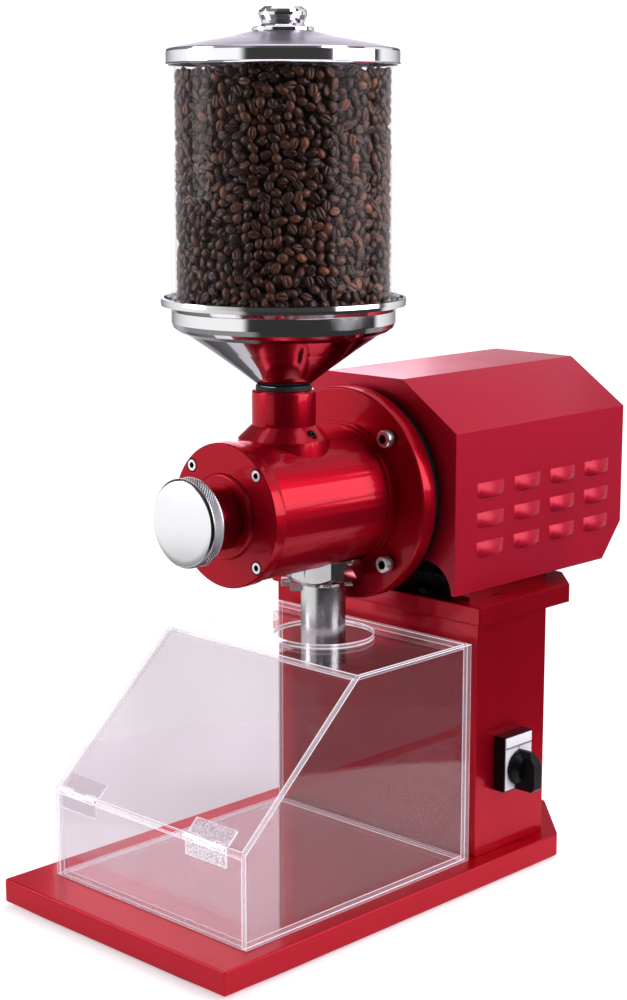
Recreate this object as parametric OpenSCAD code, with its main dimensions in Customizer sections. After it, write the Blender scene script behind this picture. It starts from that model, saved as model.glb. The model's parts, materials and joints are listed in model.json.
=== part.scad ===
// Burr coffee grinder: folded steel stand, flange-mounted motor, grinding head,
// lift-off bean hopper and a clear receiving bin with a hinged flap.
// Millimetres. X points right, Y points back, Z points up, the floor is Z = 0.

/* [Base tray] */
// Width of the tray
tray_w = 292; // [288:1:300]
// Height of the folded lips
tray_h = 22; // [20:1:24]
// Folded sheet thickness
sheet = 2; // [1.5:0.5:2]
// How far the rubber feet stand proud
foot_h = 4; // [3:1:5]

/* [Column] */
// Width of the column
column_w = 260; // [256:1:262]
// Depth of the column
column_d = 102; // [100:1:104]
// Width of the motor plate on top
plate_w = 270; // [268:1:274]
// Height of the motor plate's lips
plate_lip = 17.5; // [15:0.5:20]

/* [Motor cover] */
// Width of the cover
cover_w = 228; // [226:1:230]
// Width of the flat on top
cover_flat_w = 96.8; // [92:0.4:100]
// Rows of louvres on each side
louvre_rows = 3; // [1:1:3]
// Louvres in a row
louvre_columns = 4; // [1:1:4]
// How far a louvre is pressed out
louvre_out = 4.5; // [4:0.5:5]

/* [Grinding head] */
// Outside radius of the chamber
chamber_r = 63; // [62:0.5:63.5]
// Inside radius of the chamber
bore_r = 54; // [53.9:0.1:54.5]
// Radius of the mounting flange
flange_r = 100; // [96:1:102]
// Gap between the burrs at the finest setting
burr_gap = 0.8; // [0.6:0.1:1]
// Radius of the adjusting knob
knob_r = 39.6; // [36:0.2:42]

/* [Hopper] */
// Outside radius of the clear tube
tube_r = 100; // [99.5:0.1:100]
// Wall of the clear tube
tube_wall = 4; // [3:0.5:5]
// Height of the lid's skirt
skirt_h = 13; // [11:1:14]

/* [Receiving bin] */
// Width of the bin
bin_w = 250; // [248:1:252]
// Thickness of the clear sheet
bin_t = 5; // [4:0.5:5]
// Radius of the hole under the spout
bin_hole_r = 47; // [44:1:50]

/* [Hidden] */
$fn = 96;
clear_gap = 0.3;      // between bodies that rest on each other
shaft_clear = 0.05;   // radial clearance of a shaft in its bearing
cut = 1;              // how far a cutting tool runs past a face

// stand
tray_front = -223;
tray_side_end = 222;
tray_rear = 290;
tray_top = foot_h + tray_h;
gusset = 54;
foot_r = 16;
foot_pos = [[-118, -195], [118, -195], [-60, 262], [60, 262]];

column_front = 115;
column_rear = column_front + column_d;
plate_top = 269;
column_top = plate_top - sheet;
column_rim = 15;
plate_front = 111;
plate_side_end = 247;
plate_rear = 285;

panel_x = 90;
panel_z = [50, 220];
panel_lap = 10;
panel_screw_x = 85;
panel_screw_z = [55, 215];

gland_x = -108;
gland_z = 60;
gland_bore_r = 4.5;

// bolts and screws
m8_r = 4;
m8_hole_r = 4.4;
m8_flats = 13;
m8_head_h = 5.3;
m8_nut_h = 6.5;
m5_r = 2.5;
m5_hole_r = 2.8;
m5_head_r = 4.75;
m5_head_h = 3;
base_bolt_pos = [[-110, 124], [110, 124], [-110, 208], [110, 208]];
plate_bolt_pos = [[-60, 124], [60, 124], [-60, 208], [60, 208]];
foot_bolt_pos = [[-70, 152], [70, 152], [-70, 262], [70, 262]];

// motor
axis_z = 364;
cover_bottom = 278;
cover_side_top = 429;
cover_top = 473;
cover_front = 99.4;
cover_rear = 357;
cover_tail_y = 328;
cover_tail_z = 312.7;
window_r = 91;
window_w = 220;
window_top = 307;
window_corner = 30;
rail_x = 104;
rail_w = 14;
rail_y = [125, 240];
rail_screw_y = [140, 232];
cover_hem = 18;
louvre_y = 150;
louvre_pitch_y = 54.7;
louvre_z = 311;
louvre_pitch_z = 27.7;
louvre_l = 39;
louvre_h = 13;
grille_slots = 7;

shield_front = 89.5;
shield_face = 99;
frame_front = 112;
frame_rear = 290;
frame_r = 78;
frame_bore_r = 74;
fin_count = 20;
fin_out = 6;
foot_bar_x = 88;
foot_bar_y = [[140, 165], [250, 275]];
foot_bar_z = [274, 285];
pad_half = 14;
core_y = [140, 240];
core_bore_r = 46;
winding_l = 18;
bearing_r = 26;
bearing_w = 15;
front_bearing_y = 100;
rear_bearing_y = 285;
shaft_r = 12.5;
fan_y = 306;
fan_w = 18;
fan_r = 66;
cowl_r = frame_r + sheet;
cowl_rear = 329;

// grinding head
chamber_front = -68;
chamber_rear = 71.5;
shoulder_r = [66, 68.5];
flange_bolt_pcr = 82.5;
m10_r = 5;
m10_head_r = 8;
m10_head_h = 10;
plate_front_y = -82;
plate_r = 65;
boss_r = 39;
boss_y = -86;
lid_screw_pcr = 57.7;
m6_head_r = 5;
m6_pocket_r = 6.2;
collar_r = 29.3;
collar_front = -116.4;
knob_front = -132;
knob_back = -117;
stem_r = 8;
stem_end = -38;
carrier_r = bore_r - clear_gap;
carrier_y = [-50, 30];
carrier_wall = 14;
carrier_travel = 3;
key_w = 8;
key_h = 4;
key_gap = 0.5;        // all round the key, in the carrier's keyway
key_y = [-40, 20];
burr_r = 48;
burr_eye_r = 20;
burr_t = 8;
burr_screw_pcr = 34;
fixed_burr_y = carrier_y[1];
turning_burr_y = fixed_burr_y + burr_t + burr_gap;
hub_y = turning_burr_y + burr_t;
hub_t = 9;
feed_y = -6.4;
feed_bore_r = 21.5;
neck_r = 23.2;
socket_r = neck_r + clear_gap;
feed_tube_r = 28.9;
saddle_r = 41.5;
saddle_edge_z = 426;
saddle_top_z = 438;
feed_tube_z = [424, 470];
spout_y = 45;
spout_r = 20.9;
spout_z = [206.6, 309];
spout_collar_z = [287.5, 308.5];
spout_collar_flats = 66.6;
spout_collar_turn = 24.5;
spout_bracket_turn = 224;

// hopper
neck_z = [440 + clear_gap, 474];
ledge_z = 545;
rim_r = 109.2;
tube_z = [ledge_z + clear_gap, 766];
lid_r = 102.5;
lid_t = 1.4;
lid_low = 754;
dome_top_z = 783;
ring_r = 27.4;
knob_top_z = 805;

// bin
bin_x0 = 5 - bin_w / 2;
bin_x1 = 5 + bin_w / 2;
bin_y0 = -183;
bin_y1 = 106;
bin_z0 = tray_top + clear_gap;
bin_z1 = 235.3;
slope_z = 110.3;
slope_y = -45;
bin_hole_y = 46;
slope_run = [slope_y - bin_y0, bin_z1 - slope_z];
slope_angle = atan2(slope_run[1], slope_run[0]);
slope_len = norm(slope_run);
hinge_axis = [-186, 110.5];
hinge_r = 2.8;
pin_r = 1.2;
hinge_w = 50;
hinge_x = [-110, 58];
knuckle = 15;
leaf_t = 2;

// switch
switch_y = [142, 183];
switch_z = [86.6, 140];
switch_t = 12;
dial_y = 162.5;
dial_z = 107.5;
dial_r = 17;
grip_out = 166;

// the model is centred on its bounding box
mid_x = 10;
mid_y = 67;

paint = [0.62, 0.02, 0.05];
steel = [0.75, 0.75, 0.77];
dark = [0.08, 0.08, 0.09];
clear = [0.85, 0.88, 0.9, 0.35];
iron = [0.35, 0.36, 0.38];
copper = [0.7, 0.35, 0.15];

// ---- helpers ----

// a shape drawn in X and Z, run along Y
module along_y(y0, y1) {
    translate([0, y1, 0])
        rotate([90, 0, 0])
            linear_extrude(height = y1 - y0)
                children();
}

// a shape drawn in Y and Z, run along X
module along_x(x0, x1) {
    translate([x0, 0, 0])
        rotate([90, 0, 90])
            linear_extrude(height = x1 - x0)
                children();
}

// a round bar along Y
module y_rod(r, y0, y1, x = 0, z = axis_z) {
    translate([x, y1, z])
        rotate([90, 0, 0])
            cylinder(r = r, h = y1 - y0);
}

// a round bar along X
module x_rod(r, x0, x1, y, z) {
    translate([x0, y, z])
        rotate([0, 90, 0])
            cylinder(r = r, h = x1 - x0);
}

// a box given by its two corners
module block(a, b) {
    translate(a)
        cube([b[0] - a[0], b[1] - a[1], b[2] - a[2]]);
}

// a profile of radius and Y turned about the motor axis
module turned(points) {
    translate([0, 0, axis_z])
        rotate([-90, 0, 0])
            rotate_extrude()
                polygon(points);
}

// a rectangle with the two rear corners cut at 45 degrees, inset by t
function clipped(half, front, side_end, rear, t) =
    let (c = half + side_end, k = t * (sqrt(2) - 1))
    [
        [-(half - t), front + t], [half - t, front + t],
        [half - t, side_end - k], [c - rear - k, rear - t],
        [-(c - rear - k), rear - t], [-(half - t), side_end - k]
    ];

function tray_points(t) = clipped(tray_w / 2, tray_front, tray_side_end, tray_rear, t);
function plate_points(t) = clipped(plate_w / 2, plate_front, plate_side_end, plate_rear, t);

module hex_bolt(p, z_head, z_nut) {
    translate([p[0], p[1], z_head])
        cylinder(d = m8_flats / cos(30), h = m8_head_h, $fn = 6);
    translate([p[0], p[1], z_nut - m8_nut_h - 1.5])
        cylinder(r = m8_r, h = z_head - z_nut + m8_nut_h + 1.5);
    translate([p[0], p[1], z_nut - m8_nut_h])
        cylinder(d = m8_flats / cos(30), h = m8_nut_h, $fn = 6);
}

// ---- stand ----

module base_tray() {
    color(paint)
    difference() {
        union() {
            difference() {
                translate([0, 0, foot_h])
                    linear_extrude(height = tray_h)
                        polygon(tray_points(0));
                translate([0, 0, foot_h - cut])
                    linear_extrude(height = tray_h + cut - sheet)
                        polygon(tray_points(sheet));
            }
            intersection() {
                union()
                    for (p = foot_pos)
                        translate([p[0] - gusset / 2, p[1] - gusset / 2, foot_h])
                            cube([gusset, gusset, sheet]);
                translate([0, 0, foot_h])
                    linear_extrude(height = tray_h)
                        polygon(tray_points(sheet / 2));
            }
        }
        for (p = foot_pos)
            translate([p[0], p[1], 0])
                cylinder(r = m5_hole_r, h = foot_h + sheet + cut);
        for (p = base_bolt_pos)
            translate([p[0], p[1], tray_top - sheet - cut])
                cylinder(r = m8_hole_r, h = sheet + 2 * cut);
    }
}

module base_feet() {
    color(dark)
    for (p = foot_pos)
        translate([p[0], p[1], 0])
            difference() {
                union() {
                    cylinder(r1 = foot_r - 1.5, r2 = foot_r, h = 1.5);
                    translate([0, 0, 1.5])
                        cylinder(r = foot_r, h = foot_h - 1.5);
                }
                translate([0, 0, -cut])
                    cylinder(r = m5_head_r + 1, h = cut + 3.2);
                cylinder(r = m5_hole_r, h = foot_h + cut);
            }
}

// pan heads: feet, service panel, and cover rails
module m5_screws() {
    color(steel) {
        for (p = foot_pos) {
            translate([p[0], p[1], 0.6])
                cylinder(r = m5_head_r, h = 2.6);
            translate([p[0], p[1], 3.2])
                cylinder(r = m5_r, h = 9);
            translate([p[0], p[1], foot_h + sheet])
                cylinder(d = 8 / cos(30), h = 4, $fn = 6);
        }
        for (x = [-panel_screw_x, panel_screw_x], z = panel_screw_z) {
            y_rod(m5_head_r, column_rear + sheet, column_rear + sheet + m5_head_h, x, z);
            y_rod(m5_r, column_rear - 8, column_rear + sheet, x, z);
        }
        for (x = [-rail_x, rail_x], y = rail_screw_y) {
            translate([x, y, column_top - m5_head_h])
                cylinder(r = m5_head_r, h = m5_head_h);
            translate([x, y, column_top])
                cylinder(r = m5_r, h = 19);
            translate([x, y, cover_bottom + sheet])
                cylinder(d = 8 / cos(30), h = 4, $fn = 6);
        }
    }
}

module m8_bolts() {
    color(steel) {
        for (p = base_bolt_pos)
            hex_bolt(p, tray_top + sheet, tray_top - sheet);
        for (p = plate_bolt_pos)
            hex_bolt(p, plate_top, column_top - sheet);
        for (p = foot_bolt_pos)
            hex_bolt(p, foot_bar_z[1], column_top);
    }
}

module column() {
    half = column_w / 2;
    color(paint)
    difference() {
        block([-half, column_front, tray_top], [half, column_rear, column_top]);
        block([-half + sheet, column_front + sheet, tray_top + sheet],
              [half - sheet, column_rear - sheet, column_top - sheet]);
        // both ends are open inside a folded rim
        block([-half + column_rim, column_front + column_rim, tray_top - cut],
              [half - column_rim, column_rear - column_rim, column_top + cut]);
        // service opening in the rear wall
        block([-panel_x + panel_lap, column_rear - sheet - cut, panel_z[0] + panel_lap],
              [panel_x - panel_lap, column_rear + cut, panel_z[1] - panel_lap]);
        for (x = [-panel_screw_x, panel_screw_x], z = panel_screw_z)
            y_rod(m5_hole_r, column_rear - sheet - cut, column_rear + cut, x, z);
        for (p = base_bolt_pos)
            translate([p[0], p[1], tray_top - cut])
                cylinder(r = m8_hole_r, h = sheet + 2 * cut);
        for (p = plate_bolt_pos)
            translate([p[0], p[1], column_top - sheet - cut])
                cylinder(r = m8_hole_r, h = sheet + 2 * cut);
        // switch neck and cable gland
        x_rod(13, half - sheet - cut, half + cut, dial_y, dial_z);
        y_rod(8, column_rear - sheet - cut, column_rear + cut, gland_x, gland_z);
    }
}

module service_panel() {
    color(paint)
    difference() {
        block([-panel_x, column_rear, panel_z[0]], [panel_x, column_rear + sheet, panel_z[1]]);
        for (x = [-panel_screw_x, panel_screw_x], z = panel_screw_z)
            y_rod(m5_hole_r, column_rear - cut, column_rear + sheet + cut, x, z);
    }
}

module cable_gland() {
    color(dark)
    difference() {
        union() {
            y_rod(7.8, column_rear - 8, column_rear, gland_x, gland_z);
            translate([gland_x, column_rear + 6, gland_z])
                rotate([90, 0, 0])
                    cylinder(d = 22 / cos(30), h = 6, $fn = 6);
            y_rod(10.5, column_rear + 6, column_rear + 14, gland_x, gland_z);
            translate([gland_x, column_rear + 18, gland_z])
                rotate([90, 0, 0])
                    cylinder(r1 = 7.5, r2 = 10.5, h = 4);
            translate([gland_x, column_rear - sheet, gland_z])
                rotate([90, 0, 0])
                    cylinder(d = 20 / cos(30), h = 4, $fn = 6);
        }
        y_rod(gland_bore_r, column_rear - 10, column_rear + 20, gland_x, gland_z);
    }
}

module run_capacitor() {
    color(steel)
    translate([-50, 165, tray_top]) {
        cylinder(r = 21, h = 84);
        translate([0, 0, 84])
            cylinder(r = 17, h = 4);
        for (x = [-7, 7])
            translate([x - 3, -0.5, 88])
                cube([6, 1, 9]);
    }
}

module motor_plate() {
    color(paint)
    difference() {
        translate([0, 0, plate_top - plate_lip])
            linear_extrude(height = plate_lip)
                polygon(plate_points(0));
        translate([0, 0, plate_top - plate_lip - cut])
            linear_extrude(height = plate_lip + cut - sheet)
                polygon(plate_points(sheet));
        for (p = concat(plate_bolt_pos, foot_bolt_pos))
            translate([p[0], p[1], column_top - cut])
                cylinder(r = m8_hole_r, h = sheet + 2 * cut);
        for (x = [-rail_x, rail_x], y = rail_screw_y)
            translate([x, y, column_top - cut])
                cylinder(r = m5_hole_r, h = sheet + 2 * cut);
    }
}

// ---- motor cover ----

module cover_rails() {
    color(iron)
    for (x = [-rail_x, rail_x])
        difference() {
            block([x - rail_w / 2, rail_y[0], plate_top],
                  [x + rail_w / 2, rail_y[1], cover_bottom]);
            for (y = rail_screw_y)
                translate([x, y, plate_top - cut])
                    cylinder(r = m5_hole_r, h = cover_bottom - plate_top + 2 * cut);
        }
}

// cross section of the cover, inset by t, with the bottom run down by drop
module cover_section(t, drop) {
    half = cover_w / 2;
    flat = cover_flat_w / 2;
    run = [half - flat, cover_top - cover_side_top];
    n = [run[1], run[0]] / norm(run);
    d = n[0] * half + n[1] * cover_side_top - t;
    x = half - t;
    z = cover_top - t;
    polygon([
        [-x, cover_bottom - drop], [x, cover_bottom - drop], [x, (d - n[0] * x) / n[1]],
        [(d - n[1] * z) / n[0], z], [-(d - n[1] * z) / n[0], z], [-x, (d - n[0] * x) / n[1]]
    ]);
}

// side outline of the cover, inset by t, with the tail cut sloping under
module cover_side(t, drop) {
    run = [cover_rear - cover_tail_y, cover_tail_z - cover_bottom];
    n = [run[1], -run[0]] / norm(run);
    d = n[0] * cover_rear + n[1] * cover_tail_z - t;
    y = cover_rear - t;
    zb = cover_bottom - drop;
    polygon([
        [cover_front + t, zb], [(d - n[1] * zb) / n[0], zb],
        [y, (d - n[0] * y) / n[1]], [y, cover_top + cut], [cover_front + t, cover_top + cut]
    ]);
}

// the swelling of one louvre on the right side, shrunk by t
module louvre_bulge(y, z, t) {
    out = louvre_out;
    r_end = (louvre_l * louvre_l / 4 + out * out) / (2 * out);
    r_top = (louvre_h * louvre_h + out * out) / (2 * out);
    face = cover_w / 2;
    intersection() {
        translate([face + out - r_end, y, z - t])
            cylinder(r = r_end - t, h = louvre_h + 2);
        y_rod(r_top - t, y - louvre_l / 2, y + louvre_l / 2, face + out - r_top, z);
        block([face - sheet / 2, y - louvre_l / 2, z - t],
              [face + out + 1, y + louvre_l / 2, z + louvre_h]);
    }
}

module louvre_shells(t) {
    for (row = [0:louvre_rows - 1], col = [0:louvre_columns - 1], side = [0, 1])
        mirror([side, 0, 0])
            louvre_bulge(louvre_y + col * louvre_pitch_y, louvre_z + row * louvre_pitch_z, t);
}

module louvre_slots() {
    half_l = louvre_l / 2 - 6;
    for (row = [0:louvre_rows - 1], col = [0:louvre_columns - 1], side = [0, 1])
        mirror([side, 0, 0])
            translate([0, louvre_y + col * louvre_pitch_y, louvre_z + row * louvre_pitch_z])
                block([cover_w / 2 - sheet - cut, -half_l, 0], [cover_w / 2 + 0.5, half_l, 5]);
}

// lower part of the front window: a slot with rounded upper corners
function window_points() =
    let (half = window_w / 2, c = half - window_corner, z = window_top - window_corner)
    concat(
        [[-half, cover_bottom - cut], [half, cover_bottom - cut]],
        [for (a = [0:10:90]) [c + window_corner * cos(a), z + window_corner * sin(a)]],
        [for (a = [90:10:180]) [-c + window_corner * cos(a), z + window_corner * sin(a)]]
    );

module motor_cover() {
    half = cover_w / 2;
    color(paint)
    difference() {
        union() {
            difference() {
                intersection() {
                    along_y(cover_front, cover_rear) cover_section(0, 0);
                    along_x(-half, half) cover_side(0, 0);
                }
                intersection() {
                    along_y(cover_front + sheet, cover_rear) cover_section(sheet, cut);
                    along_x(-half, half) cover_side(sheet, cut);
                }
            }
            louvre_shells(0);
            for (side = [0, 1])
                mirror([side, 0, 0])
                    block([half - cover_hem - sheet, rail_y[0] - 5, cover_bottom],
                          [half - sheet / 2, rail_y[1] + 5, cover_bottom + sheet]);
        }
        louvre_shells(1.4);
        louvre_slots();
        // the motor passes through a round window widened at the bottom
        y_rod(window_r, cover_front - cut, cover_front + sheet + cut);
        along_y(cover_front - cut, cover_front + sheet + cut)
            polygon(window_points());
        // air intake behind the fan
        for (i = [0:grille_slots - 1])
            block([-50, cover_rear - sheet - cut, axis_z - 45 + i * 14],
                  [50, cover_rear + cut, axis_z - 39 + i * 14]);
        for (x = [-rail_x, rail_x], y = rail_screw_y)
            translate([x, y, cover_bottom - cut])
                cylinder(r = m5_hole_r, h = sheet + 2 * cut);
    }
}

// ---- motor ----

module motor_frame() {
    color(iron)
    difference() {
        union() {
            y_rod(frame_r, frame_front, frame_rear);
            for (i = [0:fin_count - 1])
                translate([0, 0, axis_z])
                    rotate([0, i * 360 / fin_count, 0])
                        translate([-1.5, frame_front + 8, frame_r - cut])
                            cube([3, frame_rear - frame_front - 16, fin_out + cut]);
            for (bar = foot_bar_y) {
                block([-foot_bar_x, bar[0], foot_bar_z[0]], [foot_bar_x, bar[1], foot_bar_z[1]]);
                for (x = [-56, 40])
                    block([x, bar[0] + 2, foot_bar_z[1] - cut], [x + 16, bar[1] - 2, 312]);
            }
        }
        y_rod(frame_bore_r, frame_front - cut, frame_rear + cut);
        for (p = foot_bolt_pos)
            translate([p[0], p[1], foot_bar_z[0] - cut])
                cylinder(r = m8_hole_r, h = foot_bar_z[1] - foot_bar_z[0] + 2 * cut);
    }
}

module motor_foot_pads() {
    color(dark)
    for (p = foot_bolt_pos)
        difference() {
            block([p[0] - pad_half, p[1] - 12, plate_top], [p[0] + pad_half, p[1] + 12, foot_bar_z[0]]);
            translate([p[0], p[1], plate_top - cut])
                cylinder(r = m8_hole_r, h = foot_bar_z[0] - plate_top + 2 * cut);
        }
}

module stator_core() {
    color(iron)
    difference() {
        y_rod(frame_bore_r, core_y[0], core_y[1]);
        y_rod(core_bore_r, core_y[0] - cut, core_y[1] + cut);
    }
}

module stator_windings() {
    color(copper)
    turned([
        [52, core_y[0] - winding_l + 4], [56, core_y[0] - winding_l], [66, core_y[0] - winding_l],
        [70, core_y[0] - winding_l + 4], [70, core_y[0]], [52, core_y[0]]
    ]);
    color(copper)
    turned([
        [52, core_y[1]], [70, core_y[1]], [70, core_y[1] + winding_l - 4],
        [66, core_y[1] + winding_l], [56, core_y[1] + winding_l], [52, core_y[1] + winding_l - 4]
    ]);
}

module front_shield() {
    color(iron)
    difference() {
        turned([
            [13.5, shield_front], [flange_r - 4, shield_front], [flange_r - 4, shield_face],
            [frame_r, shield_face], [frame_r, frame_front], [34, frame_front],
            [34, front_bearing_y + bearing_w], [13.5, front_bearing_y + bearing_w]
        ]);
        y_rod(bearing_r, front_bearing_y, front_bearing_y + bearing_w + cut);
        for (a = [45:90:315])
            y_rod(m10_r, shield_front - cut, shield_face + cut,
                  flange_bolt_pcr * cos(a), axis_z + flange_bolt_pcr * sin(a));
    }
}

module rear_shield() {
    color(iron)
    difference() {
        turned([
            [13.5, rear_bearing_y], [34, rear_bearing_y], [34, frame_rear], [frame_r, frame_rear],
            [frame_r, frame_rear + 8], [34, frame_rear + 12], [13.5, frame_rear + 12]
        ]);
        y_rod(bearing_r, rear_bearing_y - cut, rear_bearing_y + bearing_w);
    }
}

module motor_bearings() {
    color(steel)
    for (y = [front_bearing_y, rear_bearing_y])
        difference() {
            y_rod(bearing_r, y, y + bearing_w);
            y_rod(shaft_r + shaft_clear, y - cut, y + bearing_w + cut);
            difference() {
                y_rod(22, y - cut, y + 1);
                y_rod(17, y - 2 * cut, y + 2);
            }
            difference() {
                y_rod(22, y + bearing_w - 1, y + bearing_w + cut);
                y_rod(17, y + bearing_w - 2, y + bearing_w + 2 * cut);
            }
        }
}

module fan_cowl() {
    y0 = frame_rear + 1;
    color(iron)
    difference() {
        y_rod(cowl_r, y0, cowl_rear);
        // it sits on the rear shield's rim
        y_rod(frame_r + shaft_clear, y0 - cut, cowl_rear - sheet);
        for (r = [26, 42, 58])
            for (i = [0:11])
                translate([0, cowl_rear - sheet - cut, axis_z])
                    rotate([0, i * 30, 0])
                        translate([0, 0, r])
                            rotate([-90, 0, 0])
                                cylinder(r = 4.5, h = sheet + 2 * cut, $fn = 24);
    }
}

module motor_shaft() {
    color(steel)
    turned([
        [0, -24], [8, -24], [8, 46], [12, 46], [12, front_bearing_y], [shaft_r, front_bearing_y],
        [shaft_r, front_bearing_y + bearing_w + 5], [14, front_bearing_y + bearing_w + 5],
        [14, rear_bearing_y - 5], [shaft_r, rear_bearing_y - 5],
        [shaft_r, rear_bearing_y + bearing_w], [10, rear_bearing_y + bearing_w],
        [10, fan_y + fan_w + 1], [0, fan_y + fan_w + 1]
    ]);
}

module rotor_core() {
    color(iron)
    difference() {
        union() {
            y_rod(core_bore_r - 0.5, core_y[0], core_y[1]);
            y_rod(38, core_y[0] - 8, core_y[1] + 8);
        }
        y_rod(14, core_y[0] - 10, core_y[1] + 10);
    }
}

module cooling_fan() {
    color(dark)
    difference() {
        union() {
            y_rod(18, fan_y, fan_y + fan_w);
            y_rod(fan_r, fan_y, fan_y + 2.5);
            for (i = [0:6])
                translate([0, 0, axis_z])
                    rotate([0, i * 360 / 7, 0])
                        translate([-1.2, fan_y + 2, 16])
                            cube([2.4, fan_w - 2, fan_r - 18]);
        }
        y_rod(10, fan_y - cut, fan_y + fan_w + cut);
    }
}

// ---- grinding head ----

module mounting_flange() {
    color(paint)
    difference() {
        turned([
            [13.5, chamber_rear], [flange_r - 1.2, chamber_rear], [flange_r, chamber_rear + 1.2],
            [flange_r, shield_front - 1.2], [flange_r - 1.2, shield_front], [13.5, shield_front]
        ]);
        for (a = [45:90:315])
            y_rod(m10_r + 0.5, chamber_rear - cut, shield_front + cut,
                  flange_bolt_pcr * cos(a), axis_z + flange_bolt_pcr * sin(a));
    }
}

module flange_bolts() {
    color(steel)
    for (a = [45:90:315])
        translate([flange_bolt_pcr * cos(a), 0, flange_bolt_pcr * sin(a)])
            difference() {
                turned([
                    [0, chamber_rear - m10_head_h], [m10_head_r - 1, chamber_rear - m10_head_h],
                    [m10_head_r, chamber_rear - m10_head_h + 1], [m10_head_r, chamber_rear],
                    [m10_r, chamber_rear], [m10_r, shield_face], [0, shield_face]
                ]);
                translate([0, chamber_rear - m10_head_h + 5, axis_z])
                    rotate([90, 0, 0])
                        cylinder(d = 8 / cos(30), h = 5 + cut, $fn = 6);
            }
}

module grinding_chamber() {
    color(paint)
    difference() {
        union() {
            y_rod(chamber_r, chamber_front, chamber_rear);
            y_rod(shoulder_r[0], chamber_rear - 7, chamber_rear);
            y_rod(shoulder_r[1], chamber_rear - 3, chamber_rear);
            // bevelled saddle that takes the feed tube
            translate([0, feed_y, 0])
                rotate_extrude()
                    polygon([
                        [0, axis_z + 30], [saddle_r, axis_z + 30], [saddle_r, saddle_edge_z],
                        [feed_tube_r + 0.4, saddle_top_z], [0, saddle_top_z]
                    ]);
        }
        y_rod(bore_r, chamber_front - cut, chamber_rear + cut);
        translate([0, feed_y, feed_tube_z[0]])
            cylinder(r = feed_tube_r, h = 40);
        translate([0, feed_y, axis_z + 40])
            cylinder(r = feed_bore_r, h = 40);
        translate([0, spout_y, axis_z - chamber_r - 10])
            cylinder(r = spout_r, h = 40);
        // pocket of the lock screw
        x_rod(4.6, feed_tube_r + 3, saddle_r + cut, feed_y, 432.5);
        x_rod(3, feed_tube_r - cut, saddle_r, feed_y, 432.5);
        // four tapped holes for the end plate
        for (a = [45:90:315])
            y_rod(3, chamber_front - cut, chamber_front + 16,
                  lid_screw_pcr * cos(a), axis_z + lid_screw_pcr * sin(a));
    }
    // key that stops the carrier from turning
    color(paint)
    block([-key_w / 2, key_y[0], axis_z - bore_r - 1], [key_w / 2, key_y[1], axis_z - bore_r + key_h]);
}

module end_plate() {
    color(paint)
    difference() {
        turned([
            [20, plate_front_y], [20, boss_y], [boss_r - 2.5, boss_y], [boss_r - 1.2, boss_y + 0.6],
            [boss_r - 0.4, boss_y + 2], [boss_r, plate_front_y], [plate_r - 1.2, plate_front_y],
            [plate_r, plate_front_y + 1.2], [plate_r, chamber_front - 0.8],
            [plate_r - 0.8, chamber_front], [20, chamber_front]
        ]);
        for (a = [45:90:315])
            translate([lid_screw_pcr * cos(a), 0, lid_screw_pcr * sin(a)]) {
                y_rod(m6_pocket_r, plate_front_y - cut, plate_front_y + 5.5);
                y_rod(3.3, plate_front_y, chamber_front + cut);
            }
    }
}

module end_plate_screws() {
    color(steel)
    for (a = [45:90:315])
        translate([lid_screw_pcr * cos(a), 0, lid_screw_pcr * sin(a)])
            difference() {
                union() {
                    y_rod(m6_head_r, plate_front_y - 0.2, plate_front_y + 5.5);
                    y_rod(3, plate_front_y + 5.5, chamber_front + 15);
                }
                translate([0, plate_front_y + 3, axis_z])
                    rotate([90, 0, 0])
                        cylinder(d = 5 / cos(30), h = 5, $fn = 6);
            }
}

module adjuster_collar() {
    color([0.35, 0.02, 0.04])
    turned([
        [stem_r + clear_gap, collar_front], [collar_r - 1.5, collar_front],
        [collar_r, collar_front + 1.5], [collar_r, boss_y], [20, boss_y], [20, chamber_front],
        [stem_r + clear_gap, chamber_front]
    ]);
}

module adjuster_knob() {
    color(steel)
    turned([
        [0, knob_front - 2.2], [12, knob_front - 2], [24, knob_front - 1.3],
        [knob_r - 2.4, knob_front], [knob_r, knob_front + 2], [knob_r, knob_back - 1.5],
        [knob_r - 1.5, knob_back], [0, knob_back]
    ]);
}

module adjuster_stem() {
    color(steel)
    turned([
        [0, knob_back], [stem_r, knob_back], [stem_r, -66], [13, -66], [13, -63], [stem_r, -63],
        [stem_r, stem_end - 1.5], [stem_r - 1.5, stem_end], [0, stem_end]
    ]);
}

module burr_carrier() {
    color(iron)
    difference() {
        y_rod(carrier_r, carrier_y[0], carrier_y[1]);
        y_rod(burr_eye_r + 0.5, carrier_y[0] + carrier_wall, carrier_y[1] + cut);
        y_rod(stem_r + clear_gap, carrier_y[0] - cut, carrier_y[0] + carrier_wall + cut);
        // the bean chute, long enough for the carrier's travel
        for (y = [feed_y, feed_y + carrier_travel])
            translate([0, y, axis_z])
                cylinder(r = feed_bore_r, h = bore_r + cut);
        // keyway
        block([-key_w / 2 - key_gap, carrier_y[0] - cut, axis_z - bore_r - cut],
              [key_w / 2 + key_gap, carrier_y[1] - 4, axis_z - bore_r + key_h + key_gap]);
        for (a = [30:120:270])
            y_rod(m5_r, carrier_y[1] - 12, carrier_y[1] + cut,
                  burr_screw_pcr * cos(a), axis_z + burr_screw_pcr * sin(a));
    }
}

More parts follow.
